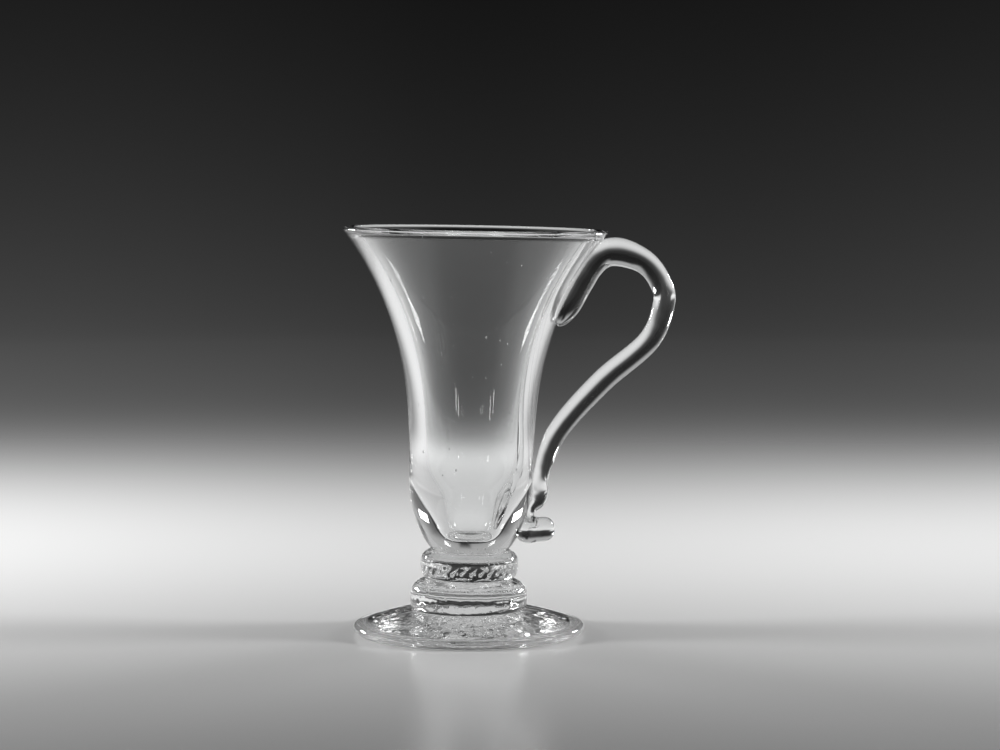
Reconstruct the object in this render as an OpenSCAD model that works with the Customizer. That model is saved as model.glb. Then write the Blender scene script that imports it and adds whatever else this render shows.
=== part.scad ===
// Handled jelly glass: a flared bowl on a beaded knop, a ring knop and a low foot,
// with a drawn loop handle sealed to the bowl. Millimetres, +Z up, +X towards the handle,
// origin at the middle of the foot's resting plane.

/* [Foot] */
// Diameter of the foot
foot_d = 63.8; // [56:0.5:72]
// Height of the foot where the ring knop is sealed on
foot_h = 6.5; // [5.5:0.1:8]
// Thickness of the rounded edge of the foot
foot_edge = 2.6; // [2:0.1:3.4]
// How steadily the foot's upper side falls: 1 is a cone, more is a dome
foot_dome = 1.35; // [1:0.1:2.5]
// Height of the hollow under the foot
foot_kick = 2.4; // [1.5:0.1:3]
// Width of the flat ring that the glass stands on
rest_w = 2.2; // [1.5:0.1:4]
// Diameter of the scar left by the pontil rod
pontil_d = 13; // [9:0.5:18]
// How far the scar stands down from the hollow
pontil_h = 0.7; // [0.4:0.1:1]
// Lean towards the handle of all that the hand-made foot carries, in degrees
lean = 1.05; // [0:0.05:2]

/* [Ring knop] */
// Greatest diameter of the ring knop
ring_d = 32.4; // [28:0.2:36]
// Height of the ring knop
ring_h = 8.4; // [6:0.1:10]
// Diameter of the seam between ring knop and foot
ring_base_d = 31.2; // [26:0.2:34]
// Height of the widest place above the ring knop's own base
ring_belly_h = 3.8; // [2.5:0.1:5]

/* [Beaded knop] */
// Greatest diameter of the beaded knop
knop_d = 27; // [25:0.2:30]
// Height of the beaded knop
knop_h = 8; // [7:0.1:10]
// Diameter of the seam between the two knops
knop_base_d = 23.6; // [20:0.2:25]
// Height of the widest place above the beaded knop's own base
knop_belly_h = 4.4; // [3:0.1:5]
// Number of air beads round the knop
bead_count = 26; // [18:1:28]
// Diameter of an air bead
bead_d = 1.2; // [0.9:0.1:1.4]
// Length of an air bead from its round end to its tail
bead_len = 3.4; // [2.6:0.1:4.4]
// Lean of the beads from upright
bead_slant = 45; // [30:1:50]
// Diameter of the circle that the beads lie on
bead_ring_d = 19.6; // [15:0.2:21]
// Height of the beads' middles above the beaded knop's own base
bead_h = 3; // [2.8:0.1:4.5]

/* [Bowl] */
// Diameter of the bowl's rim
rim_d = 72.6; // [64:0.2:80]
// Height of the bowl from its seam to the rim
bowl_h = 88.4; // [75:0.2:100]
// Outer diameter of the bowl where the flare starts
waist_d = 34.3; // [30:0.1:38]
// Height of the start of the flare above the bowl's seam
waist_h = 21.6; // [18:0.1:26]
// Diameter of the seam between bowl and beaded knop
seat_d = 21.2; // [18:0.2:23]
// How sharply the flare opens: 2 is a parabola
flare_power = 2.6; // [2.1:0.1:3]
// Fullness of the bowl's rounded base: 2 is an ellipse
base_power = 2.1; // [2:0.1:2.6]
// Thickness of the lip
wall_rim = 3.2; // [2.4:0.1:4]
// Height of the rounding of the lip
lip_h = 0.8; // [0.5:0.1:1.2]
// Thickness of the wall at the start of the flare
wall_waist = 4.6; // [3.6:0.1:5.6]
// Thickness of the wall low down
wall_base = 9.2; // [7.5:0.1:10.2]
// Height above the bowl's seam at which the wall is half-way to that thickness
turn_h = 16.6; // [13:0.1:21]
// How gently the wall thickens there
turn_soft = 3.1; // [2.4:0.1:4.5]
// Thickness of solid glass under the inside of the bowl
floor_t = 4.8; // [3:0.1:6]
// Height of the rounding between the floor and the wall of the inside
floor_round = 2.6; // [1:0.1:3.5]

/* [Handle] */
// Diameter of the rod round the loop
rod_d = 6.1; // [5:0.1:7]
// Diameter of the rod at the top of the arch
arch_d = 7.8; // [6.5:0.1:8.5]
// Diameter of the rod low down, where it comes to the bowl's base
heel_d = 4.5; // [4:0.1:5.5]
// Diameter of the pinch at the lower seal
pinch_d = 2.8; // [2.2:0.1:3.6]
// Farthest that the middle of the rod stands off the bowl
loop_out = 26.8; // [22:0.2:32]
// Drop from the rim to the middle of the rod at the top of the arch
arch_drop = 5.9; // [5.2:0.1:7.5]
// Drop from the rim to the lower tip of the upper seal
pad_drop = 25.7; // [22:0.1:30]
// Height of the pinch at the lower seal above the bowl's seam
pinch_h = 11.3; // [10:0.1:15]
// Drop from the pinch to the middle of the turned-out tail
tail_drop = 5.6; // [5:0.1:7]
// Diameter of the turned-out tail
tail_d = 6.9; // [5.5:0.1:8]
// Reach of the tail from the bowl's wall to its tip
tail_out = 9.2; // [8:0.1:13]

/* [Hidden] */

// Fineness of curves, revolved faces and the handle's rod
curve_steps = 14;
flare_steps = 30;
inside_steps = 44;
lip_steps = 10;
bead_steps = 4;
rod_sides = 24;
rod_steps = 5;
$fn = 96;

// Room for cuts that pass through a face
cut = 1;

// Heights of the seams and the rim above the resting plane
ring_z = foot_h;
knop_z = ring_z + ring_h;
seat_z = knop_z + knop_h;
waist_z = seat_z + waist_h;
rim_z = seat_z + bowl_h;
lip_z = rim_z - lip_h;
floor_z = seat_z + floor_t;
round_z = floor_z + floor_round;
turn_z = seat_z + turn_h;

rim_r = rim_d / 2;
waist_r = waist_d / 2;

// Drop from the rim to the pinch, which stays with the bowl's base
pinch_drop = bowl_h - pinch_h;

clear_glass = [0.86, 0.9, 0.92, 0.45];

// Helper curves

function blend(a, b, t) = a + (b - a) * t;

// A curve from p to q that starts and ends in line with the corner c
function corner_curve(p, c, q, steps = curve_steps) =
    [for (i = [0:steps]) let (t = i / steps) blend(blend(p, c, t), blend(c, q, t), t)];

// An arc about centre c from angle a to angle b
function arc(c, r, a, b, steps = lip_steps) =
    [for (i = [0:steps]) let (t = blend(a, b, i / steps)) c + r * [cos(t), sin(t)]];

// The side of a knop from its lower seam, round its belly, to its upper seam
function knop_side(low, belly, high) = concat(
    corner_curve(low, [belly.x, blend(low.y, belly.y, 0.3)], belly),
    corner_curve(belly, [belly.x, blend(belly.y, high.y, 0.72)], high)
);

// Radius of the bowl's outside at height z. Under the waist it is a full ellipse
// that passes through the seam.
base_depth = waist_h / pow(1 - pow(seat_d / waist_d, base_power), 1 / base_power);
function wall_r(z) = z >= waist_z
    ? waist_r + (rim_r - waist_r) * pow((z - waist_z) / (lip_z - waist_z), flare_power)
    : waist_r * pow(1 - pow((waist_z - z) / base_depth, base_power), 1 / base_power);

// Thickness of the bowl's wall at height z: it thins slowly up to the lip and thickens
// in one soft step low down
function wall_t(z) =
    blend(wall_waist, wall_rim, pow(max(0, (z - waist_z) / (lip_z - waist_z)), 3))
    + (wall_base - wall_waist) / (1 + exp((z - turn_z) / turn_soft));
function inside_r(z) = wall_r(z) - wall_t(z);

// Leans what the foot carries about the middle of the foot's seam
module with_lean() {
    translate([0, 0, foot_h])
        rotate([0, lean, 0])
            translate([0, 0, -foot_h])
                children();
}

// Foot: low dome with a rounded edge, hollowed underneath so that it stands on a ring

foot_edge_r = foot_edge / 2;
rest_out_r = foot_d / 2 - foot_edge_r;
rest_in_r = rest_out_r - rest_w;
foot_top = [for (i = [0:curve_steps]) let (t = i / curve_steps)
    [blend(rest_out_r, ring_base_d / 2, t), blend(foot_edge, foot_h, 1 - pow(1 - t, foot_dome))]];
foot_profile = concat(
    [[0, foot_kick - pontil_h], [pontil_d / 2 - pontil_h, foot_kick - pontil_h]],
    corner_curve([pontil_d / 2, foot_kick], [blend(pontil_d / 2, rest_in_r, 0.5), foot_kick], [rest_in_r, 0]),
    arc([rest_out_r, foot_edge_r], foot_edge_r, -90, 90),
    foot_top,
    [[0, foot_h]]
);

module foot() {
    color(clear_glass) rotate_extrude() polygon(foot_profile);
}

// Ring knop: a broad flattened ring of solid glass, level where it meets the foot

module ring_knop() {
    side = knop_side([ring_base_d / 2, ring_z], [ring_d / 2, ring_z + ring_belly_h], [knop_base_d / 2, knop_z]);
    skirt = [[0, ring_z - cut], [ring_base_d / 2, ring_z - cut]];
    color(clear_glass) difference() {
        with_lean() rotate_extrude() polygon(concat(skirt, side, [[0, knop_z]]));
        translate([0, 0, foot_h - foot_d / 2]) cube(foot_d, center = true);
    }
}

// Beaded knop: a round knop with a ring of trapped air beads

// An air bead standing on its round end, with a drawn-out tail
module air_bead() {
    bead_r = bead_d / 2;
    round_end = arc([0, bead_r], bead_r, -90, 30, bead_steps);
    tail = corner_curve(round_end[bead_steps], [bead_r * 0.55, bead_len * 0.7], [0, bead_len], bead_steps);
    rotate_extrude() polygon(concat(round_end, tail));
}

module beaded_knop() {
    side = knop_side([knop_base_d / 2, knop_z], [knop_d / 2, knop_z + knop_belly_h], [seat_d / 2, seat_z]);
    color(clear_glass) with_lean() difference() {
        rotate_extrude() polygon(concat([[0, knop_z]], side, [[0, seat_z]]));
        for (i = [0:bead_count - 1])
            rotate(360 * i / bead_count)
                translate([bead_ring_d / 2, 0, knop_z + bead_h])
                    rotate([-bead_slant, 0, 0])
                        translate([0, 0, -bead_len / 2])
                            air_bead();
    }
}

// Bowl: a bell with a thick rounded base and a fire-polished lip

bowl_base = [for (i = [0:curve_steps])
    let (z = blend(seat_z, waist_z, 1 - cos(90 * i / curve_steps))) [wall_r(z), z]];
bowl_flare = [for (i = [1:flare_steps]) let (z = blend(waist_z, lip_z, i / flare_steps)) [wall_r(z), z]];
bowl_lip = [for (i = [1:lip_steps - 1]) let (a = 180 * i / lip_steps)
    [wall_r(lip_z) - wall_t(lip_z) * (1 - cos(a)) / 2, lip_z + lip_h * sin(a)]];
bowl_inside = [for (i = [0:inside_steps]) let (z = blend(lip_z, round_z, i / inside_steps)) [inside_r(z), z]];
bowl_floor = [for (i = [1:curve_steps]) let (t = 1 - i / curve_steps)
    [inside_r(round_z) * t, floor_z + floor_round * pow(t, 4)]];

module bowl_glass() {
    rotate_extrude() polygon(concat(
        [[0, seat_z]], bowl_base, bowl_flare, bowl_lip, bowl_inside, bowl_floor
    ));
}

// The bowl with its inside filled, to trim what is sealed to its wall
module bowl_filled() {
    rotate_extrude() polygon(concat([[0, seat_z]], bowl_base, bowl_flare, [[0, lip_z]]));
}

module bowl() {
    color(clear_glass) with_lean() bowl_glass();
}

// Handle: one drawn rod. It starts as a tongue pressed on below the rim, leaves the wall
// in an arch, comes back in a long curve, is pinched on to the bowl's base and turned out.

// A place on the handle: drop below the rim, distance of the rod's middle from the wall, diameter
function place(drop, off, d) = let (z = rim_z - drop) [wall_r(z) + off, z, d];

// A place on the loop, part of the way from the arch down to the pinch and out to its full reach
function loop_place(down, out, d) = place(blend(arch_drop, pinch_drop, down), loop_out * out, d);

arch_place = place(arch_drop, loop_out * 0.27, arch_d);
pinch_place = place(pinch_drop, pinch_d * 0.25, pinch_d);

// The upper seal: a drop of glass with a round lower end, sunk to less than half in the wall
pad_run = [
    place(pad_drop, -arch_d * 0.05, arch_d * 0.3),
    place(blend(pad_drop, arch_drop, 0.07), arch_d * 0.04, arch_d * 0.64),
    place(blend(pad_drop, arch_drop, 0.25), arch_d * 0.12, arch_d * 0.92),
    place(blend(pad_drop, arch_drop, 0.57), arch_d * 0.15, arch_d * 0.97),
    place(blend(pad_drop, arch_drop, 0.82), arch_d * 0.18, arch_d * 0.97),
    place(blend(pad_drop, arch_drop, 0.97), arch_d * 0.39, arch_d * 0.98),
    arch_place
];
loop_run = [
    arch_place,
    loop_place(0.036, 0.578, blend(arch_d, rod_d, 0.7)),
    loop_place(0.104, 0.834, rod_d),
    loop_place(0.188, 1, rod_d),
    loop_place(0.337, 1, rod_d),
    loop_place(0.5, 0.622, rod_d * 1.03),
    loop_place(0.696, 0.23, blend(rod_d, heel_d, 0.25)),
    loop_place(0.86, 0.085, heel_d),
    place(blend(arch_drop, pinch_drop, 0.93), heel_d * 0.52, heel_d),
    place(blend(arch_drop, pinch_drop, 0.968), heel_d * 0.46, blend(heel_d, pinch_d, 0.35)),
    pinch_place
];
tail_tip_r = tail_d * 0.42;
tail_run = [
    pinch_place,
    place(pinch_drop + tail_drop * 0.45, tail_d * 0.12, tail_d * 0.5),
    place(pinch_drop + tail_drop * 0.95, tail_d * 0.2, tail_d * 1.12),
    place(pinch_drop + tail_drop, (tail_out - tail_tip_r) * 0.66, tail_d),
    place(pinch_drop + tail_drop * 0.97, tail_out - tail_tip_r, tail_d * 0.97)
];

// The point at t of the way from b to c on a smooth curve through a, b, c and d
function through(a, b, c, d, t) = 0.5 * (2 * b + (c - a) * t
    + (2 * a - 5 * b + 4 * c - d) * t * t + (3 * b - a - 3 * c + d) * t * t * t);

// A smooth run through all the places, with the places before and after it where there are any
function smooth_run(run, before, after) = let (last = len(run) - 1) concat(
    [for (i = [0:last - 1], s = [0:rod_steps - 1])
        through(i == 0 ? before : run[i - 1], run[i], run[i + 1],
            i + 2 > last ? after : run[i + 2], s / rod_steps)],
    [run[last]]
);

pad_path = smooth_run(pad_run, 2 * pad_run[0] - pad_run[1], loop_run[1]);
loop_path = smooth_run(loop_run, pad_run[len(pad_run) - 2], tail_run[1]);
tail_path = smooth_run(tail_run, loop_run[len(loop_run) - 2], 2 * tail_run[4] - tail_run[3]);

// The rounded tip that closes the tail
tail_end = tail_path[len(tail_path) - 1];
tail_dir = let (d = tail_end - tail_path[len(tail_path) - 2]) [d.x, d.y] / norm([d.x, d.y]);
tail_tip = [for (a = [18:18:72]) [
    tail_end.x + tail_dir.x * tail_tip_r * sin(a),
    tail_end.y + tail_dir.y * tail_tip_r * sin(a),
    tail_end.z * cos(a)
]];

// Direction of a path at its point i, and the ring of points of the rod there
function path_dir(path, i) = let (
    d = path[min(i + 1, len(path) - 1)] - path[max(i - 1, 0)]
) [d.x, d.y] / norm([d.x, d.y]);
function rod_ring(p, dir) = [for (k = [0:rod_sides - 1]) let (a = 360 * k / rod_sides, r = p.z / 2) [
    p.x - dir.y * r * cos(a),
    r * sin(a),
    p.y + dir.x * r * cos(a)
]];

// Solid rod along a path of [x, z, diameter]. The directions of its two ends may be given,
// so that two rods can share the ring where they meet.
module rod(path, start_dir, end_dir) {
    n = len(path);
    rings = [for (i = [0:n - 1])
        rod_ring(path[i], i == 0 ? start_dir : i == n - 1 ? end_dir : path_dir(path, i))];
    points = [for (ring = rings, p = ring) p];
    function at(i, k) = i * rod_sides + k % rod_sides;
    sides = [for (i = [0:n - 2], k = [0:rod_sides - 1], half = [0, 1])
        half == 0 ? [at(i, k), at(i, k + 1), at(i + 1, k)] : [at(i, k + 1), at(i + 1, k + 1), at(i + 1, k)]];
    start_cap = [for (k = [rod_sides - 1:-1:0]) at(0, k)];
    end_cap = [for (k = [0:rod_sides - 1]) at(n - 1, k)];
    polyhedron(points, concat(sides, [start_cap, end_cap]));
}

// Directions in which the three lengths of the handle meet
function meeting_dir(a, b) = let (d = b - a) [d.x, d.y] / norm([d.x, d.y]);
arch_dir = meeting_dir(pad_path[len(pad_path) - 2], loop_path[1]);
pinch_dir = meeting_dir(loop_path[len(loop_path) - 2], tail_path[1]);

module sealed_to_bowl() {
    color(clear_glass) with_lean() difference() {
        children();
        bowl_filled();
    }
}

module handle_pad() {
    sealed_to_bowl() rod(pad_path, path_dir(pad_path, 0), arch_dir);
}

module handle_loop() {
    sealed_to_bowl() rod(loop_path, arch_dir, pinch_dir);
}

module handle_tail() {
    sealed_to_bowl() rod(concat(tail_path, tail_tip), pinch_dir, tail_dir);
}

foot();
ring_knop();
beaded_knop();
bowl();
handle_pad();
handle_loop();
handle_tail();
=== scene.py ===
import math

import bmesh
import bpy
import numpy as np
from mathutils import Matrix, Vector


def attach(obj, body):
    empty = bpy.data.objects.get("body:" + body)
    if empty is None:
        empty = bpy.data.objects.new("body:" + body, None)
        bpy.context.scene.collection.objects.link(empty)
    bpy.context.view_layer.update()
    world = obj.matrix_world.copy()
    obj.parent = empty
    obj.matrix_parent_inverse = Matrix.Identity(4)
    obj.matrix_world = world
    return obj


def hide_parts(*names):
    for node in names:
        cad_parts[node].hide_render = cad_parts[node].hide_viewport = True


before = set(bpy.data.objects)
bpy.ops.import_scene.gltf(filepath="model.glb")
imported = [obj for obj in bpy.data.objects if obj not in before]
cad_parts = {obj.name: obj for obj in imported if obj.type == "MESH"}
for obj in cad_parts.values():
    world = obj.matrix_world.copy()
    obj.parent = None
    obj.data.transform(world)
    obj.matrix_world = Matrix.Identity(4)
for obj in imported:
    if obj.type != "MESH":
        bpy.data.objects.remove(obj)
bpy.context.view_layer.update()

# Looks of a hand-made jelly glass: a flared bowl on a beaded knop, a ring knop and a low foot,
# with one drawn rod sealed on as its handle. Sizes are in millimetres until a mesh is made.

MM = 0.001
GLASS_IOR = 1.53

# Foot, with the scar that the pontil rod leaves under it
FOOT_D, FOOT_H, FOOT_EDGE, FOOT_DOME = 63.8, 6.5, 2.6, 1.35
FOOT_KICK, REST_W, SCAR_D, SCAR_H = 2.4, 2.2, 13.0, 0.7
LEAN = math.radians(1.05)

# Ring knop and beaded knop
RING_D, RING_H, RING_BASE_D, RING_BELLY_H = 32.4, 8.4, 31.2, 3.8
KNOP_D, KNOP_H, KNOP_BASE_D, KNOP_BELLY_H = 27.0, 8.0, 23.6, 4.4
RING_TUCK, KNOP_TUCK = 0.08, 0.12

# Air beads in the beaded knop: the sway is added to the slant, and the least size is a share of the whole
BEAD_COUNT, BEAD_D, BEAD_LEN = 26, 1.2, 3.4
BEAD_SLANT, BEAD_RING_D, BEAD_H = math.radians(45), 19.6, 3.0
BEAD_SWAY, BEAD_LEAST = 0.25, 0.72

# Bowl
RIM_D, BOWL_H, WAIST_D, WAIST_H, SEAT_D = 72.6, 88.4, 34.3, 21.6, 21.2
FLARE_POWER, BASE_POWER, LIP_H, LIP_FALL = 2.6, 2.1, 0.8, 0.5
WALL_RIM, WALL_WAIST, WALL_BASE = 3.2, 4.6, 9.2
TURN_H, TURN_SOFT, FLOOR_T, FLOOR_ROUND = 16.6, 3.1, 4.8, 2.6
WALL_WAVE = 0.012

# Handle
ROD_D, ARCH_D, HEEL_D, PINCH_D, TAIL_D = 6.1, 7.8, 4.5, 2.8, 6.9
LOOP_OUT, ARCH_DROP, PAD_DROP, PINCH_H, TAIL_DROP, TAIL_OUT = 26.8, 5.9, 25.7, 11.3, 5.6, 9.2
SINK = 0.6

RING_Z = FOOT_H
KNOP_Z = RING_Z + RING_H
SEAT_Z = KNOP_Z + KNOP_H
FLOOR_Z = SEAT_Z + FLOOR_T
WAIST_Z = SEAT_Z + WAIST_H
TURN_Z = SEAT_Z + TURN_H
RIM_Z = SEAT_Z + BOWL_H
LIP_Z = RIM_Z - LIP_H
PINCH_DROP = BOWL_H - PINCH_H

# Fineness of the turned glass and of the drawn rod
TURNS = 288
ROD_SIDES = 64
ROD_STEPS = 22
CREASE = math.radians(35)


# Node trees

class Wire:
    """A socket of a node tree. Sums on wires add Math nodes, and node() adds any other node."""

    def __init__(self, tree, socket=None):
        self.tree, self.socket = tree, socket

    def node(self, kind, settings=None, inputs=None, out=0):
        made = self.tree.nodes.new(kind)
        for name, value in (settings or {}).items():
            setattr(made, name, value)
        for name, value in (inputs or {}).items():
            if isinstance(value, Wire):
                self.tree.links.new(value.socket, made.inputs[name])
            else:
                made.inputs[name].default_value = value
        return Wire(self.tree, made.outputs[out] if len(made.outputs) else None)

    def math(self, operation, *values):
        return self.node("ShaderNodeMath", {"operation": operation}, dict(enumerate((self,) + values)))

    def clamped(self):
        return self.node("ShaderNodeClamp", {}, {"Value": self})

    def swung(self, low, high):
        """0 below low and 1 above high, with a soft start and end."""
        return self.node("ShaderNodeMapRange", {"interpolation_type": "SMOOTHSTEP"},
                         {"Value": self, "From Min": low, "From Max": high})

    def part(self, axis):
        return self.node("ShaderNodeSeparateXYZ", {}, {0: self}, axis)

    def vector(self, operation, *values):
        return self.node("ShaderNodeVectorMath", {"operation": operation},
                         dict(enumerate((self,) + values)))

    def times(self, factor):
        return self.node("ShaderNodeVectorMath", {"operation": "SCALE"}, {0: self, "Scale": factor})

    def __add__(self, other):
        return self.math("ADD", other)

    def __mul__(self, other):
        return self.math("MULTIPLY", other)

    def __sub__(self, other):
        return self.math("SUBTRACT", other)

    def __rsub__(self, other):
        return (self * -1.0).math("ADD", other)

    def __truediv__(self, other):
        return self.math("DIVIDE", other)

    def __pow__(self, other):
        return self.math("POWER", other)

    __radd__, __rmul__ = __add__, __mul__


def new_tree(name, *inputs):
    """An empty Geometry Nodes tree and its named inputs."""
    tree = bpy.data.node_groups.new(name, "GeometryNodeTree")
    tree.interface.new_socket("Glass", in_out="OUTPUT", socket_type="NodeSocketGeometry")
    for label, kind in inputs:
        tree.interface.new_socket(label, in_out="INPUT", socket_type="NodeSocket" + kind)
    given = tree.nodes.new("NodeGroupInput")
    return Wire(tree), {label: Wire(tree, given.outputs[label]) for label, _ in inputs}


def end_tree(glass, *coats):
    """Ends a tree in Realize Instances and its materials, each on the faces that its flag chooses."""
    glass = glass.node("GeometryNodeRealizeInstances", {}, {"Geometry": glass})
    for material, flag in coats:
        inputs = {"Geometry": glass, "Material": material}
        if flag is not None:
            inputs["Selection"] = flag
        glass = glass.node("GeometryNodeSetMaterial", {}, inputs)
    glass.node("NodeGroupOutput", {}, {"Glass": glass})
    return glass.tree


def hooped_tree():
    """Skins a run of hoops. Each point of the spine gives a hoop's middle, its reach to the side
    and to the back, the height of the waves there, and whether the span after it is fused glass."""
    wire, given = new_tree(
        "hooped_glass", ("Spine", "Object"), ("Hoops", "Int"), ("Sides", "Int"), ("Outward", "Bool"),
        ("Waves round", "Float"), ("Waves along", "Float"), ("Skin", "Material"), ("Seam", "Material"))
    spine = wire.node("GeometryNodeObjectInfo", {}, {"Object": given["Spine"]}, "Geometry")
    columns = given["Sides"] + 1
    grid = wire.node("GeometryNodeMeshGrid", {}, {"Vertices X": given["Hoops"], "Vertices Y": columns})
    index = wire.node("GeometryNodeInputIndex")
    position = wire.node("GeometryNodeInputPosition")

    def of_hoop(name, kind, hoop):
        value = position if name is None else wire.node(
            "GeometryNodeInputNamedAttribute", {"data_type": kind}, {"Name": name})
        return wire.node("GeometryNodeSampleIndex", {"data_type": kind},
                         {"Geometry": spine, "Value": value, "Index": hoop})

    hoop = ((index + 0.5) / columns).math("FLOOR")
    turn = (index - hoop * columns) * math.tau / given["Sides"]
    across = of_hoop("side", "FLOAT_VECTOR", hoop).times(turn.math("COSINE"))
    behind = of_hoop("depth", "FLOAT", hoop) * turn.math("SINE")
    behind = wire.node("ShaderNodeCombineXYZ", {}, {"Y": behind})
    place = of_hoop(None, "FLOAT_VECTOR", hoop).vector("ADD", across).vector("ADD", behind)
    glass = wire.node("GeometryNodeSetPosition", {}, {"Geometry": grid, "Position": place})
    glass = wire.node("GeometryNodeStoreNamedAttribute", {"data_type": "FLOAT", "domain": "POINT"},
                      {"Geometry": glass, "Name": "wave", "Value": of_hoop("wave", "FLOAT", hoop)})
    span = ((index + 0.5) / given["Sides"]).math("FLOOR")
    glass = wire.node("GeometryNodeStoreNamedAttribute", {"data_type": "FLOAT", "domain": "FACE"},
                      {"Geometry": glass, "Name": "seam", "Value": of_hoop("seam", "FLOAT", span)})
    glass = wire.node("GeometryNodeMergeByDistance", {}, {"Geometry": glass, "Distance": 2e-6})
    glass = wire.node("GeometryNodeFlipFaces", {}, {"Mesh": glass, "Selection": given["Outward"]})
    glass = wire.node("GeometryNodeSetShadeSmooth", {}, {"Geometry": glass})

    reach = (position.part("X") ** 2.0 + position.part("Y") ** 2.0 + 1e-12).math("SQRT")
    grain = wire.node("ShaderNodeCombineXYZ", {}, {
        "X": position.part("X") / reach * given["Waves round"],
        "Y": position.part("Y") / reach * given["Waves round"],
        "Z": (reach + position.part("Z")) * given["Waves along"]})
    noise = wire.node("ShaderNodeTexNoise", {}, {"Vector": grain, "Scale": 1.0, "Detail": 2.0})
    wave = wire.node("GeometryNodeInputNamedAttribute", {"data_type": "FLOAT"}, {"Name": "wave"})
    lift = wire.node("GeometryNodeInputNormal").times((noise - 0.5) * 2.0 * wave)
    glass = wire.node("GeometryNodeSetPosition", {}, {"Geometry": glass, "Offset": lift})
    fused = wire.node("GeometryNodeInputNamedAttribute", {"data_type": "FLOAT"}, {"Name": "seam"}) - 0.5
    return end_tree(glass, (given["Skin"], None), (given["Seam"], fused))


def bead_tree():
    """A ring of air beads, each a little different in size and slant."""
    wire, given = new_tree("ring_of_beads", ("Bead", "Object"), ("Count", "Int"), ("Ring", "Float"),
                           ("Height", "Float"), ("Slant", "Float"), ("Seed", "Int"), ("Skin", "Material"))
    ring = wire.node("GeometryNodeMeshCircle", {}, {"Vertices": given["Count"], "Radius": given["Ring"]})
    rise = wire.node("ShaderNodeCombineXYZ", {}, {"Z": given["Height"]})
    ring = wire.node("GeometryNodeSetPosition", {}, {"Geometry": ring, "Offset": rise})
    bead = wire.node("GeometryNodeObjectInfo", {}, {"Object": given["Bead"]}, "Geometry")
    turn = wire.node("GeometryNodeInputIndex") * math.tau / given["Count"]
    sway = wire.node("FunctionNodeRandomValue", {"data_type": "FLOAT"},
                     {2: -BEAD_SWAY, 3: BEAD_SWAY, "Seed": given["Seed"] + 1.0}, 1)
    euler = wire.node("ShaderNodeCombineXYZ", {}, {"X": given["Slant"] + sway, "Z": turn})
    size = wire.node("FunctionNodeRandomValue", {"data_type": "FLOAT"},
                     {2: BEAD_LEAST, 3: 1.0, "Seed": given["Seed"]}, 1)
    beads = wire.node("GeometryNodeInstanceOnPoints", {}, {
        "Points": ring, "Instance": bead, "Scale": size,
        "Rotation": wire.node("FunctionNodeEulerToRotation", {}, {"Euler": euler})})
    return end_tree(beads, (given["Skin"], None))


def seed_tree():
    """Tiny round bubbles strewn through the thickness of a wall."""
    wire, given = new_tree(
        "seeds_in_the_glass", ("Wall", "Object"), ("Density", "Float"), ("Smallest", "Float"),
        ("Largest", "Float"), ("Seed", "Int"), ("Skin", "Material"))
    wall = wire.node("GeometryNodeObjectInfo", {}, {"Object": given["Wall"]}, "Geometry")
    points = wire.node("GeometryNodeDistributePointsOnFaces", {},
                       {"Mesh": wall, "Density": given["Density"], "Seed": given["Seed"]})
    ball = wire.node("GeometryNodeMeshIcoSphere", {}, {"Radius": 1.0, "Subdivisions": 2})
    ball = wire.node("GeometryNodeSetShadeSmooth", {}, {"Geometry": ball})
    ball = wire.node("GeometryNodeFlipFaces", {}, {"Mesh": ball})
    size = wire.node("FunctionNodeRandomValue", {"data_type": "FLOAT"},
                     {2: given["Smallest"], 3: given["Largest"], "Seed": given["Seed"]}, 1)
    drawn = wire.node("ShaderNodeCombineXYZ", {}, {"X": size, "Y": size, "Z": size * 1.5})
    seeds = wire.node("GeometryNodeInstanceOnPoints", {},
                      {"Points": points, "Instance": ball, "Scale": drawn})
    return end_tree(seeds, (given["Skin"], None))


HOOPED, BEADS, SEEDS = hooped_tree(), bead_tree(), seed_tree()


# Meshes from the trees

def shown(name, mesh):
    made = bpy.data.objects.new(name, mesh)
    bpy.context.scene.collection.objects.link(made)
    return made


def grown(name, tree, inputs):
    """A plain mesh object made by a tree from its named inputs."""
    maker = shown(name + "_maker", bpy.data.meshes.new(name + "_maker"))
    modifier = maker.modifiers.new("maker", "NODES")
    modifier.node_group = tree
    for socket in tree.interface.items_tree:
        if socket.in_out == "INPUT":
            modifier[socket.identifier] = inputs[socket.name]
    bpy.context.view_layer.update()
    seen = bpy.context.evaluated_depsgraph_get()
    mesh = bpy.data.meshes.new_from_object(maker.evaluated_get(seen), depsgraph=seen)
    bpy.data.objects.remove(maker)
    for spent in ("wave", "seam"):
        if spent in mesh.attributes:
            mesh.attributes.remove(mesh.attributes[spent])
    mesh.name = name
    return shown(name, mesh)


def skinned(name, middles, sides, depths, waves, seams, material, turns, round_along, outward=True):
    """A mesh from hoops, which are given in millimetres."""
    mesh = bpy.data.meshes.new(name + "_spine")
    mesh.from_pydata([tuple(p * MM) for p in middles], [], [])
    for label, kind, values in (("side", "FLOAT_VECTOR", sides * MM), ("depth", "FLOAT", depths * MM),
                                ("wave", "FLOAT", waves * MM), ("seam", "FLOAT", seams)):
        field = "vector" if kind == "FLOAT_VECTOR" else "value"
        mesh.attributes.new(label, kind, "POINT").data.foreach_set(
            field, np.ascontiguousarray(values, dtype=np.float32).ravel())
    spine = shown(name + "_spine", mesh)
    made = grown(name, HOOPED, {
        "Spine": spine, "Hoops": len(middles), "Sides": turns, "Outward": outward,
        "Waves round": round_along[0], "Waves along": round_along[1], "Skin": material, "Seam": fused_seam})
    bpy.data.objects.remove(spine)
    return made


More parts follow.
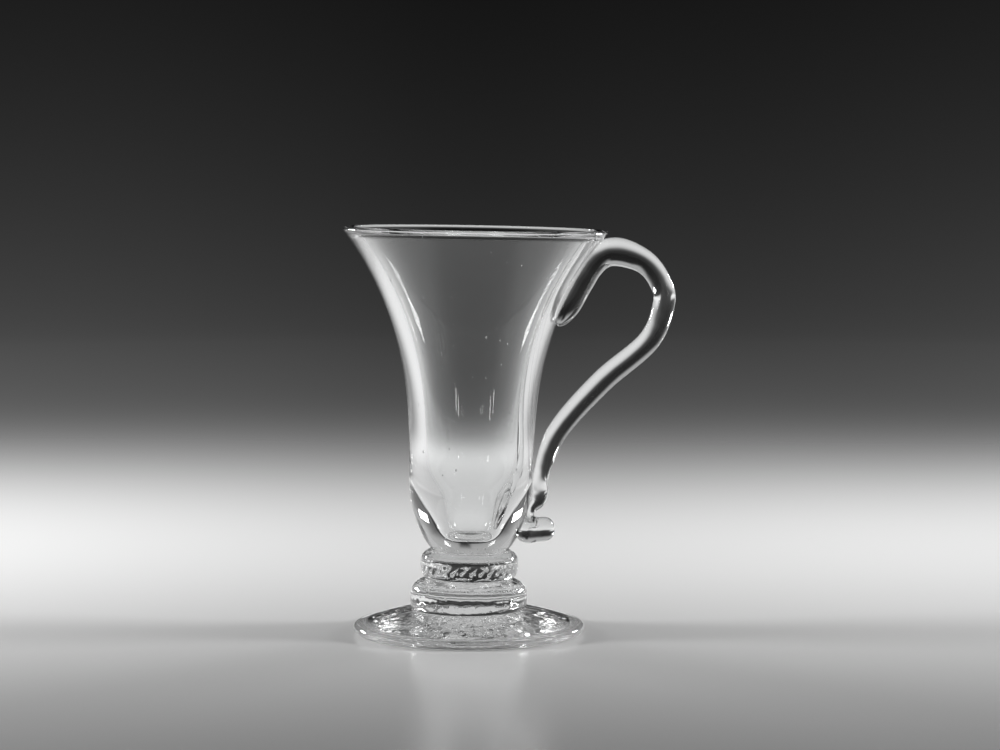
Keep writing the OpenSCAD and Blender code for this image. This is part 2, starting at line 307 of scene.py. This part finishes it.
def turned(name, runs, material, turns=TURNS, round_along=(2.0, 60.0), outward=True):
    """Turned glass from runs of (radius and height points, height of the waves, fused or not).
    Each run starts where the last one ended."""
    points, waves, seams = [], [], []
    for run, wave, fused in runs:
        run = np.asarray(run, float)
        if points:
            run = run[1:]
            seams[-1] = float(fused)
        points.extend(run)
        waves.extend([0.0 if fused else wave] * len(run))
        seams.extend([float(fused)] * len(run))
    points, waves, seams = np.array(points), np.array(waves), np.array(seams)
    edge = np.flatnonzero(np.diff(seams))
    for i in edge:
        waves[max(i - 1, 0):i + 3] = 0.0
    soft = np.convolve(np.pad(waves, 4, mode="edge"), np.ones(9) / 9, mode="valid")
    soft[waves == 0.0] = 0.0
    zero = np.zeros(len(points))
    return skinned(name, np.stack([zero, zero, points[:, 1]], 1), np.stack([points[:, 0], zero, zero], 1),
                   points[:, 0], soft, seams, material, turns, round_along, outward)


def bool_cut(keep, cutter, operation):
    """The mesh of keep after a cut, with the cutter's materials on the faces that it leaves."""
    modifier = keep.modifiers.new("cut", "BOOLEAN")
    modifier.object, modifier.operation, modifier.solver = cutter, operation, "MANIFOLD"
    modifier.material_mode = "TRANSFER"
    bpy.context.view_layer.update()
    seen = bpy.context.evaluated_depsgraph_get()
    mesh = bpy.data.meshes.new_from_object(keep.evaluated_get(seen), depsgraph=seen)
    keep.modifiers.remove(modifier)
    return mesh


def joined(name, meshes, materials):
    """One mesh from several, with its doubles merged and its faces on the named materials.
    A slot that no face uses any more is dropped."""
    whole = bmesh.new()
    for mesh in meshes:
        slots = [materials.index(m) if m in materials else 0 for m in mesh.materials]
        start = len(whole.faces)
        whole.from_mesh(mesh)
        whole.faces.ensure_lookup_table()
        for face in whole.faces[start:]:
            face.material_index = slots[face.material_index]
    bmesh.ops.remove_doubles(whole, verts=whole.verts, dist=1e-6)
    made = bpy.data.meshes.new(name)
    whole.to_mesh(made)
    whole.free()
    for material in materials:
        made.materials.append(material)
    return made


def finished(piece, node_names):
    """A finished piece: its creases sharp, riding on the part's one body, and standing for its solids."""
    piece.data.set_sharp_from_angle(angle=CREASE)
    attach(piece, "root")
    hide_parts(*node_names)


# Curves of the glass, in millimetres

def blend(a, b, t):
    return a + (b - a) * t


def corner_curve(p, c, q, steps):
    t = np.linspace(0, 1, steps + 1)[:, None]
    p, c, q = (np.array(v, float) for v in (p, c, q))
    return blend(blend(p, c, t), blend(c, q, t), t)


def arc(c, r, a, b, steps):
    t = np.radians(np.linspace(a, b, steps + 1))
    return np.stack([c[0] + r * np.cos(t), c[1] + r * np.sin(t)], 1)


def line(p, q, steps):
    return blend(np.array(p, float), np.array(q, float), np.linspace(0, 1, steps + 1)[:, None])


def knop_side(low, belly, high, tuck, steps=34):
    """The side of a knop. A small tuck keeps it upright down to a tight turn at its lower seam."""
    lower = corner_curve(low, (belly[0], blend(low[1], belly[1], tuck)), belly, steps)
    upper = corner_curve(belly, (belly[0], blend(belly[1], high[1], 0.72)), high, steps)
    return np.concatenate([lower, upper[1:]])


RIM_R, WAIST_R = RIM_D / 2, WAIST_D / 2
BASE_DEPTH = WAIST_H / (1 - (SEAT_D / WAIST_D) ** BASE_POWER) ** (1 / BASE_POWER)


def wall_r(z):
    """Radius of the bowl's outside at height z."""
    z = np.asarray(z, float)
    flare = np.clip((z - WAIST_Z) / (LIP_Z - WAIST_Z), 0, None)
    fall = np.clip((WAIST_Z - z) / BASE_DEPTH, 0, 1)
    return np.where(z >= WAIST_Z, WAIST_R + (RIM_R - WAIST_R) * flare ** FLARE_POWER,
                    WAIST_R * (1 - fall ** BASE_POWER) ** (1 / BASE_POWER))


def wall_t(z):
    """Thickness of the bowl's wall: it thins slowly up to the lip and swells softly into a thick base."""
    z = np.asarray(z, float)
    up = np.clip((z - WAIST_Z) / (LIP_Z - WAIST_Z), 0, 1)
    swell = (WALL_BASE - WALL_WAIST) / (1 + np.exp((z - TURN_Z) / TURN_SOFT))
    return blend(WALL_WAIST, WALL_RIM, up ** 3) + swell


def inside_r(z):
    return wall_r(z) - wall_t(z)


# Materials

def shader(name):
    """A new material, its empty tree and the wire that adds nodes to it."""
    material = bpy.data.materials.new(name)
    material.use_nodes = True
    material.node_tree.nodes.clear()
    return material, Wire(material.node_tree)


def end_shader(wire, surface):
    wire.node("ShaderNodeOutputMaterial", {}, {"Surface": surface})


def see_through(name):
    """Where two lengths of glass are fused there is no surface to see."""
    material, wire = shader(name)
    end_shader(wire, wire.node("ShaderNodeBsdfTransparent", {}, {"Color": (1, 1, 1, 1)}))
    return material


def clear_glass(name, ripple, rubbed=None):
    """Old clear glass: faint cords in its colour, faint smears, and ripples left by the tools.
    Where rubbed gives a mask, the surface is worn or broken and no longer bright."""
    material, wire = shader(name)
    place = wire.node("ShaderNodeTexCoord", {}, {}, "Object")
    cords = wire.node("ShaderNodeTexNoise", {}, {
        "Vector": place.vector("MULTIPLY", (140.0, 140.0, 30.0)), "Scale": 1.0, "Detail": 2.0})
    tint = wire.node("ShaderNodeMix", {"data_type": "RGBA"},
                     {0: cords, 6: (0.985, 0.99, 0.99, 1), 7: (0.965, 0.972, 0.972, 1)}, 2)
    smear = wire.node("ShaderNodeTexNoise", {}, {"Vector": place, "Scale": 90.0, "Detail": 4.0})
    rough = smear.swung(0.6, 0.8) * 0.02
    dents = wire.node("ShaderNodeTexNoise", {}, {
        "Vector": place.vector("MULTIPLY", (160.0, 160.0, 70.0)), "Scale": 1.0, "Detail": 3.0})
    height = dents * ripple
    if rubbed is not None:
        worn = rubbed(wire, place)
        grit = wire.node("ShaderNodeTexNoise", {}, {"Vector": place, "Scale": 2600.0, "Detail": 3.0})
        rough = rough + worn * 0.35
        height = height + grit * worn * 0.06
    bump = wire.node("ShaderNodeBump", {}, {"Height": height, "Strength": 1.0, "Distance": MM})
    end_shader(wire, wire.node("ShaderNodeBsdfPrincipled", {}, {
        "Base Color": tint, "Roughness": rough, "IOR": GLASS_IOR, "Transmission Weight": 1.0,
        "Normal": bump}))
    return material


def worn_foot(wire, place):
    """The ring that the glass stands on, and the broken scar in the middle."""
    reach = (place.part("X") ** 2.0 + place.part("Y") ** 2.0).math("SQRT")
    low = 1.0 - place.part("Z").swung(0.0001, 0.0004)
    scar = (1.0 - reach.swung(0.0058, 0.0068)) * (1.0 - place.part("Z").swung(0.0022, 0.0026))
    return (low + scar).clamped()


fused_seam = see_through("fused_seam")
bowl_glass = clear_glass("bowl_glass", 0.004)
knop_glass = clear_glass("knop_glass", 0.006)
foot_glass = clear_glass("foot_glass", 0.012, worn_foot)
handle_glass = clear_glass("handle_glass", 0.008)


# Foot

rest_out = FOOT_D / 2 - FOOT_EDGE / 2
rest_in = rest_out - REST_W
scar_r = SCAR_D / 2
inward = np.linspace(0, 1, 71)
foot_top = np.stack([blend(rest_out, RING_BASE_D / 2, inward),
                     blend(FOOT_EDGE, FOOT_H, 1 - (1 - inward) ** FOOT_DOME)], 1)
foot_hollow = corner_curve((scar_r, FOOT_KICK), (blend(scar_r, rest_in, 0.5), FOOT_KICK), (rest_in, 0), 70)
foot = turned("foot", [
    (line((0, FOOT_KICK - SCAR_H), (scar_r - SCAR_H, FOOT_KICK - SCAR_H), 10), 0.16, False),
    (line((scar_r - SCAR_H, FOOT_KICK - SCAR_H), (scar_r, FOOT_KICK), 4), 0.06, False),
    (foot_hollow[:31], 0.2, False),
    (foot_hollow[30:59], 0.13, False),
    (foot_hollow[58:], 0.02, False),
    (line((rest_in, 0), (rest_out, 0), 5), 0.0, False),
    (arc((rest_out, FOOT_EDGE / 2), FOOT_EDGE / 2, -90, 90, 30), 0.0, False),
    (foot_top, 0.07, False),
    (line((RING_BASE_D / 2, FOOT_H), (0, FOOT_H), 1), 0.0, True),
], foot_glass, round_along=(9.0, 330.0))

# Knops

ring_low, ring_belly = (RING_BASE_D / 2, RING_Z), (RING_D / 2, RING_Z + RING_BELLY_H)
knop_low, knop_belly = (KNOP_BASE_D / 2, KNOP_Z), (KNOP_D / 2, KNOP_Z + KNOP_BELLY_H)
bowl_seat = (SEAT_D / 2, SEAT_Z)
ring_knop = turned("ring_knop", [
    (line((0, RING_Z), ring_low, 1), 0.0, True),
    (knop_side(ring_low, ring_belly, knop_low, RING_TUCK), 0.08, False),
    (line(knop_low, (0, KNOP_Z), 1), 0.0, True),
], knop_glass, round_along=(7.0, 260.0))
beaded_knop = turned("beaded_knop", [
    (line((0, KNOP_Z), knop_low, 1), 0.0, True),
    (knop_side(knop_low, knop_belly, bowl_seat, KNOP_TUCK), 0.06, False),
    (line(bowl_seat, (0, SEAT_Z), 1), 0.0, True),
], knop_glass, round_along=(8.0, 300.0))

bead_r = BEAD_D / 2
round_end = arc((0, bead_r), bead_r, -90, 30, 12)
bead_tail = corner_curve(round_end[-1], (bead_r * 0.55, BEAD_LEN * 0.7), (0, BEAD_LEN), 16)
bead_side = np.concatenate([round_end, bead_tail[1:]]) - (0, BEAD_LEN / 2)
air_bead = turned("air_bead", [(bead_side, 0.0, False)], knop_glass, 32, outward=False)
air_beads = grown("air_beads", BEADS, {
    "Bead": air_bead, "Count": BEAD_COUNT, "Ring": BEAD_RING_D / 2 * MM, "Height": (KNOP_Z + BEAD_H) * MM,
    "Slant": -BEAD_SLANT, "Seed": 4, "Skin": knop_glass})

# Bowl

base_z = blend(SEAT_Z, WAIST_Z, 1 - np.cos(np.linspace(0, np.pi / 2, 41)))
flare_z = np.linspace(WAIST_Z, LIP_Z, 71)
inside_z = np.linspace(LIP_Z - LIP_FALL, FLOOR_Z + FLOOR_ROUND, 131)
bowl_base = np.stack([wall_r(base_z), base_z], 1)
bowl_flare = np.stack([wall_r(flare_z), flare_z], 1)
bowl_inside = np.stack([inside_r(inside_z), inside_z], 1)
floor_share = np.linspace(1, 0, 25)
bowl_floor = np.stack([bowl_inside[-1, 0] * floor_share, FLOOR_Z + FLOOR_ROUND * floor_share ** 4], 1)
over = np.linspace(0, np.pi, 25)
across_lip = (1 - np.cos(over)) / 2
lip_rise = math.sqrt((LIP_H + LIP_FALL / 2) ** 2 - (LIP_FALL / 2) ** 2)
lip = np.stack([blend(RIM_R, bowl_inside[0, 0], across_lip),
                LIP_Z - LIP_FALL * across_lip + lip_rise * np.sin(over)], 1)
seat_disc = line((0, SEAT_Z), bowl_seat, 1)
bowl_waves = (2.5, 25.0)
bowl = turned("bowl", [
    (seat_disc, 0.0, True),
    (bowl_base, WALL_WAVE, False),
    (bowl_flare, WALL_WAVE, False),
    (lip, 0.0, False),
    (bowl_inside, WALL_WAVE, False),
    (bowl_floor, WALL_WAVE, False),
], bowl_glass, round_along=bowl_waves)
bowl_block = turned("bowl_block", [
    (seat_disc, 0.0, False),
    (bowl_base, WALL_WAVE, False),
    (bowl_flare, WALL_WAVE, False),
    (line((RIM_R, LIP_Z), (0, LIP_Z), 1), 0.0, True),
], fused_seam, round_along=bowl_waves)


# Handle: one rod, pressed on below the rim, looped, pinched on to the base and turned out

def place(drop, off, d):
    z = RIM_Z - drop
    return np.array([float(wall_r(z)) + off, z, d])


def loop_place(down, out, d):
    return place(blend(ARCH_DROP, PINCH_DROP, down), LOOP_OUT * out, d)


def pad_place(up, off, d):
    return place(blend(PAD_DROP, ARCH_DROP, up), ARCH_D * off, ARCH_D * d)


tail_tip_r = TAIL_D * 0.42
rod_run = [
    pad_place(0, -0.05, 0.3), pad_place(0.07, 0.04, 0.64), pad_place(0.25, 0.12, 0.92),
    pad_place(0.57, 0.15, 0.97), pad_place(0.82, 0.18, 0.97), pad_place(0.97, 0.39, 0.98),
    place(ARCH_DROP, LOOP_OUT * 0.27, ARCH_D),
    loop_place(0.036, 0.578, blend(ARCH_D, ROD_D, 0.7)), loop_place(0.104, 0.834, ROD_D),
    loop_place(0.188, 1, ROD_D), loop_place(0.337, 1, ROD_D), loop_place(0.5, 0.622, ROD_D * 1.03),
    loop_place(0.696, 0.23, blend(ROD_D, HEEL_D, 0.25)), loop_place(0.86, 0.085, HEEL_D),
    place(blend(ARCH_DROP, PINCH_DROP, 0.93), HEEL_D * 0.52, HEEL_D),
    place(blend(ARCH_DROP, PINCH_DROP, 0.968), HEEL_D * 0.46, blend(HEEL_D, PINCH_D, 0.35)),
    place(PINCH_DROP, PINCH_D * 0.25, PINCH_D),
    place(PINCH_DROP + TAIL_DROP * 0.45, TAIL_D * 0.12, TAIL_D * 0.5),
    place(PINCH_DROP + TAIL_DROP * 0.95, TAIL_D * 0.2, TAIL_D * 1.12),
    place(PINCH_DROP + TAIL_DROP, (TAIL_OUT - tail_tip_r) * 0.66, TAIL_D),
    place(PINCH_DROP + TAIL_DROP * 0.97, TAIL_OUT - tail_tip_r, TAIL_D * 0.97),
]


def through(a, b, c, d, t):
    """A place between b and c on the smooth curve through a, b, c and d."""
    return 0.5 * (2 * b + (c - a) * t + (2 * a - 5 * b + 4 * c - d) * t ** 2
                  + (3 * b - a - 3 * c + d) * t ** 3)


def smooth_run(run, steps):
    ends = [2 * run[0] - run[1]] + run + [2 * run[-1] - run[-2]]
    places = [through(*ends[i:i + 4], s / steps) for i in range(len(run) - 1) for s in range(steps)]
    return np.array(places + [run[-1]])


def drawn_rod():
    """The whole rod before it is trimmed to the wall."""
    path = smooth_run(rod_run, ROD_STEPS)
    way = np.gradient(path[:, :2], axis=0)
    way /= np.linalg.norm(way, axis=1)[:, None]
    swell = np.radians(np.linspace(0, 90, 15)[1:])
    tip = np.stack([path[-1, 0] + way[-1, 0] * tail_tip_r * np.sin(swell),
                    path[-1, 1] + way[-1, 1] * tail_tip_r * np.sin(swell), path[-1, 2] * np.cos(swell)], 1)
    tip[-1, 2] = 0.0
    start = path[:1] * (1, 1, 0)
    path = np.concatenate([start, path, tip])
    way = np.concatenate([way[:1], way, np.repeat(way[-1:], len(tip), 0)])
    half = path[:, 2] / 2
    zero = np.zeros(len(path))
    middles = np.stack([path[:, 0], zero, path[:, 1]], 1)
    sides = np.stack([way[:, 1] * half, zero, -way[:, 0] * half], 1)
    waves = np.where(half > 1.0, 0.04, 0.0)
    rod = skinned("drawn_rod", middles, sides, half, waves, zero, handle_glass, ROD_SIDES, (3.0, 120.0))
    count = len(rod.data.vertices)
    where = np.zeros(count * 3, np.float32)
    rod.data.vertices.foreach_get("co", where)
    where = where.reshape(-1, 3).astype(float) / MM
    reach = np.hypot(where[:, 0], where[:, 1])
    least = wall_r(where[:, 2]) - SINK
    deep = reach < least
    where[deep, :2] *= (least[deep] / reach[deep])[:, None]
    rod.data.vertices.foreach_set("co", (where * MM).astype(np.float32).ravel())
    rod.data.update()
    return rod


def sealed(bowl, rod):
    """The bowl with the seals' outline on its wall, where the wall is fused to the handle."""
    outside = bool_cut(bowl, rod, "DIFFERENCE")
    under = bool_cut(bowl, rod, "INTERSECT")
    for mesh, fused in ((outside, False), (under, True)):
        work = bmesh.new()
        work.from_mesh(mesh)
        skin = [m.name if m else "" for m in mesh.materials]
        seam_slot = skin.index("fused_seam")
        spare = [f for f in work.faces if skin[f.material_index] == "handle_glass"]
        bmesh.ops.delete(work, geom=spare, context="FACES")
        if fused:
            for face in work.faces:
                face.material_index = seam_slot
        work.to_mesh(mesh)
        work.free()
    return [outside, under]


rod = drawn_rod()
handle_mesh = bool_cut(rod, bowl_block, "DIFFERENCE")
bowl_parts = sealed(bowl, rod)


def seeds_along(name, profile, per_mm2, smallest, largest, skin):
    """Seeds strewn round a turned profile inside the glass."""
    wall = turned(name + "_wall", [(profile, 0.0, False)], skin, 96)
    seeds = grown(name, SEEDS, {"Wall": wall, "Density": per_mm2 / MM ** 2, "Smallest": smallest * MM,
                                "Largest": largest * MM, "Seed": 11, "Skin": skin})
    bpy.data.objects.remove(wall)
    return seeds


wall_mid = np.stack([(wall_r(flare_z) + inside_r(flare_z)) / 2, flare_z], 1)
bowl_seeds = seeds_along("bowl_seeds", wall_mid, 0.005, 0.08, 0.25, bowl_glass)
base_mid = line((3, SEAT_Z + 1.2), (9.6, SEAT_Z + 1.8), 8)
knop_mid = line((11.6, KNOP_Z + 1.8), (11.6, SEAT_Z - 2.2), 8)
ring_mid = line((13.4, RING_Z + 1.2), (13.4, KNOP_Z - 2.4), 8)
base_seeds = seeds_along("base_seeds", base_mid, 0.25, 0.1, 0.3, bowl_glass)
knop_seeds = seeds_along("knop_seeds", knop_mid, 0.3, 0.1, 0.3, knop_glass)
ring_seeds = seeds_along("ring_seeds", ring_mid, 0.15, 0.08, 0.25, knop_glass)


# Finished pieces, leaning as the hand-made foot lets them

def lean(mesh, share):
    """Leans a mesh towards the handle about the middle of the foot's seam, by a share of the whole lean
    that follows its height."""
    count = len(mesh.vertices)
    where = np.zeros(count * 3, np.float32)
    mesh.vertices.foreach_get("co", where)
    where = where.reshape(-1, 3).astype(float)
    turn = LEAN * share(where[:, 2] / MM)
    x, up = where[:, 0].copy(), where[:, 2] - FOOT_H * MM
    where[:, 0] = x * np.cos(turn) + up * np.sin(turn)
    where[:, 2] = FOOT_H * MM - x * np.sin(turn) + up * np.cos(turn)
    mesh.vertices.foreach_set("co", where.astype(np.float32).ravel())
    mesh.update()


def above_seam(z):
    t = np.clip((z - RING_Z) / 2.0, 0, 1)
    return t * t * (3 - 2 * t)


def fully(z):
    return np.ones_like(z)


pieces = {
    "turned_foot": ([foot.data], foot_glass, None, ["foot"]),
    "turned_ring_knop": ([ring_knop.data, ring_seeds.data], knop_glass, above_seam, ["ring_knop"]),
    "turned_beaded_knop": ([beaded_knop.data, air_beads.data, knop_seeds.data], knop_glass, fully,
                           ["beaded_knop"]),
    "blown_bowl": (bowl_parts + [bowl_seeds.data, base_seeds.data], bowl_glass, fully, ["bowl"]),
    "drawn_handle": ([handle_mesh], handle_glass, fully, ["handle_pad", "handle_loop", "handle_tail"]),
}
makers = [foot, ring_knop, beaded_knop, bowl, bowl_block, rod, air_bead, air_beads, bowl_seeds, base_seeds,
          knop_seeds, ring_seeds]
for name, (meshes, skin, share, node_names) in pieces.items():
    mesh = joined(name, meshes, [skin, fused_seam])
    if share is not None:
        lean(mesh, share)
    finished(shown(name, mesh), node_names)
for maker in makers:
    bpy.data.objects.remove(maker)


# Table, backdrop and light

# Camera at the photograph's place: metres, degrees and millimetres of lens
CAMERA_X, CAMERA_BACK, CAMERA_Z = 0.00866, 0.760, 0.1285
CAMERA_DOWN, LENS, SENSOR = 4.33, 99.9, 36.0

# The table's painted pool of light and its painted fall-off into the dark, back and up the wall, in metres
# and in parts of white
POOL_Y, POOL_WIDE, POOL_REACH, POOL_LEVEL = 0.18, 0.5, 0.27, 0.74
FAR_REACH, FAR_LEVEL, LEAST_LEVEL, WALL_FADE = 0.8, 0.17, 0.022, 0.22

# Levels of the painted pale tent at the sides and of its crown, which only the glass shows, and the
# direction of the dark gap in the crown
TENT, CROWN, GAP_SLOPE = 0.6, 0.75, 0.08

# The stage: radius of the flat table, radius of its cove and height of the wall, in metres
TABLE_R, COVE_R, WALL_H = 1.3, 0.5, 2.4


def grey(wire, level):
    return wire.node("ShaderNodeCombineColor", {}, {"Red": level, "Green": level, "Blue": level})


def table_shader():
    """A pale satin table with a painted soft pool of light, painted to fall off into a dim sweep and
    painted paler beside the view, which the lamps also light and shade.
    Glass also shows a painted pale tent at the sides and above, with a dark gap in it behind the handle."""
    material, wire = shader("table_sweep")
    place = wire.node("ShaderNodeTexCoord", {}, {}, "Object")
    x, y, z = (place.part(axis) for axis in "XYZ")
    side = x.math("ABSOLUTE")
    away = (x ** 2.0 + y ** 2.0).math("SQRT").swung(0.3, 0.8)
    # Painted light: a soft pool of light behind the glass, a fainter painted fall-off further back, and
    # painted darkening up the wall and far away
    from_pool = ((x * POOL_WIDE) ** 2.0 + (y - POOL_Y) ** 2.0).math("SQRT")
    pool = ((from_pool / POOL_REACH) ** 2.0 * -1.0).math("EXPONENT") * POOL_LEVEL
    far = (from_pool / -FAR_REACH).math("EXPONENT") * FAR_LEVEL
    level = (pool + far + LEAST_LEVEL) * (z / -WALL_FADE).math("EXPONENT") * (1.0 - away * 0.3)
    # Painted side glow: the table is painted brighter towards both sides, most on the left
    level = level * (1.0 + side.swung(0.0, 0.16) * 0.12 + (x * -1.0).swung(0.02, 0.4) * 0.45
                     + x.swung(0.16, 0.5) * 0.35)
    # Painted glare: the table turns paler beside the view, less so towards the front
    depth = y + CAMERA_BACK
    spread = (side - depth * 0.19).math("MAXIMUM", depth * -1.0)
    beside = spread.swung(0.0, 0.2) * away * (1.0 - z.swung(0.0, 0.1))
    behind = side.math("ARCTAN2", y)
    painted_glare = 1.0 - behind.swung(1.75, 2.3) * 0.7
    level = level + (painted_glare - level) * beside
    # Painted pale tent with a dark gap behind the handle, added only where the glass looks through to the
    # table
    wings = z.swung(0.08, 0.9) * behind.swung(0.3, 1.1)
    off_gap = (x - y * GAP_SLOPE).math("ABSOLUTE").math("ARCTAN2", y).swung(0.02, 0.14)
    crown = (z.swung(0.5, 1.1) * off_gap).math("MAXIMUM", z.swung(0.85, 1.25)) * CROWN
    tent = wings.math("MAXIMUM", crown) * (1.0 - behind.swung(1.8, 2.4)) * TENT
    camera, glossy, through_glass = (wire.node("ShaderNodeLightPath", {}, {}, label) for label in (
        "Is Camera Ray", "Is Glossy Ray", "Is Transmission Ray"))
    level = level + tent * through_glass
    # Painted sheen: the glow is painted brighter at grazing angles, and a little dimmer near the glass in
    # what the glass reflects or shows through it
    painted_sheen = wire.node("ShaderNodeFresnel", {}, {"IOR": 1.45})
    seen = level * (0.85 + painted_sheen * 0.2) * (1.0 - (1.0 - camera) * (1.0 - away) * 0.10)
    # The glow shows this painted light as it is; the paint carries the same painted light in its base
    # colour, so the lamps' shadows still fall on it
    glow = wire.node("ShaderNodeEmission", {}, {"Color": grey(wire, seen)})
    paint = wire.node("ShaderNodeBsdfPrincipled", {}, {"Base Color": grey(wire, level), "Roughness": 0.22})
    share = (camera * (0.2 + away * 0.8) + glossy + through_glass).clamped()
    end_shader(wire, wire.node("ShaderNodeMixShader", {}, {0: share, 1: paint, 2: glow}))
    return material


def sweep():
    """A round table that turns up into a wall, just under the foot."""
    wall_r_out, turns, gap = TABLE_R + COVE_R, 128, 0.0002
    cove = arc((TABLE_R, COVE_R), COVE_R, -90, 0, 16)
    wall = line((wall_r_out, COVE_R), (wall_r_out, WALL_H), 12)
    profile = np.concatenate([line((0.001, 0), (TABLE_R, 0), 60), cove[1:], wall[1:]])
    around = np.linspace(0, math.tau, turns, endpoint=False)
    points = [(r * math.cos(a), r * math.sin(a), z - gap) for r, z in profile for a in around]
    faces = []
    for low in range(0, turns * (len(profile) - 1), turns):
        for k in range(turns):
            nxt = (k + 1) % turns
            faces.append((low + k, low + nxt, low + turns + nxt, low + turns + k))
    mesh = bpy.data.meshes.new("table_sweep")
    mesh.from_pydata(points, [], [f[::-1] for f in faces])
    mesh.polygons.foreach_set("use_smooth", [True] * len(mesh.polygons))
    mesh.materials.append(table_shader())
    shown("table_sweep", mesh)


def softbox(name, azimuth, elevation, wide, tall, radiance, distance=0.8):
    """A flat soft lamp seen from the glass in that direction, with its width and height as angles."""
    azimuth, elevation = math.radians(azimuth), math.radians(elevation)
    way = Vector((math.sin(azimuth) * math.cos(elevation), -math.cos(azimuth) * math.cos(elevation),
                  math.sin(elevation)))
    lamp = bpy.data.lights.new(name, "AREA")
    lamp.shape = "RECTANGLE"
    lamp.size, lamp.size_y = (2 * distance * math.tan(math.radians(a / 2)) for a in (wide, tall))
    lamp.energy = radiance * math.pi * lamp.size * lamp.size_y
    box = bpy.data.objects.new(name, lamp)
    bpy.context.scene.collection.objects.link(box)
    box.location = Vector((0, 0, 0.08)) + way * distance
    box.rotation_euler = (-way).to_track_quat("-Z", "Y").to_euler()
    box.visible_camera = False
    return box


sweep()

# The side and front lamps are the ones that the glass shows. The fill and the ceiling only light the table.
for name, side in (("left", -1), ("right", 1)):
    softbox("side_lamp_" + name, side * 134, 11.2, 15, 5, 55)
    fill = softbox("fill_lamp_" + name, side * 90, 14, 12, 6, 176)
    fill.visible_glossy = fill.visible_transmission = False
ceiling = softbox("ceiling_lamp", 0, 90, 60, 60, 0.4, 1.5)
ceiling.visible_glossy = ceiling.visible_transmission = False
softbox("front_lamp_low_left", -49, 3.5, 2.5, 6, 10)
softbox("front_lamp_low_right", 38, 3, 2.5, 6, 10)

world = bpy.data.worlds.new("dim_room")
world.use_nodes = True
sky = Wire(world.node_tree)
sky_y = sky.node("ShaderNodeTexCoord", {}, {}, "Generated").part("Y")
through_sky = sky.node("ShaderNodeLightPath", {}, {}, "Is Transmission Ray")
# Painted pale tent in the dim room, shown only through the glass
sky_level = 0.05 + through_sky * sky_y.swung(-0.3, 0.2) * TENT
background = world.node_tree.nodes["Background"]
background.inputs["Color"].default_value = (1, 1, 1, 1)
world.node_tree.links.new(sky_level.socket, background.inputs["Strength"])

camera = bpy.data.objects.new("camera", bpy.data.cameras.new("camera"))
camera.data.lens, camera.data.sensor_width = LENS, SENSOR
camera.location = (CAMERA_X, -CAMERA_BACK, CAMERA_Z)
camera.rotation_euler = (math.radians(90 - CAMERA_DOWN), 0, 0)

scene = bpy.context.scene
scene.collection.objects.link(camera)
scene.camera, scene.world = camera, world
scene.view_settings.view_transform = "Standard"
scene.cycles.max_bounces = 24
scene.cycles.transmission_bounces = 24
scene.cycles.glossy_bounces = 16
scene.cycles.transparent_max_bounces = 24
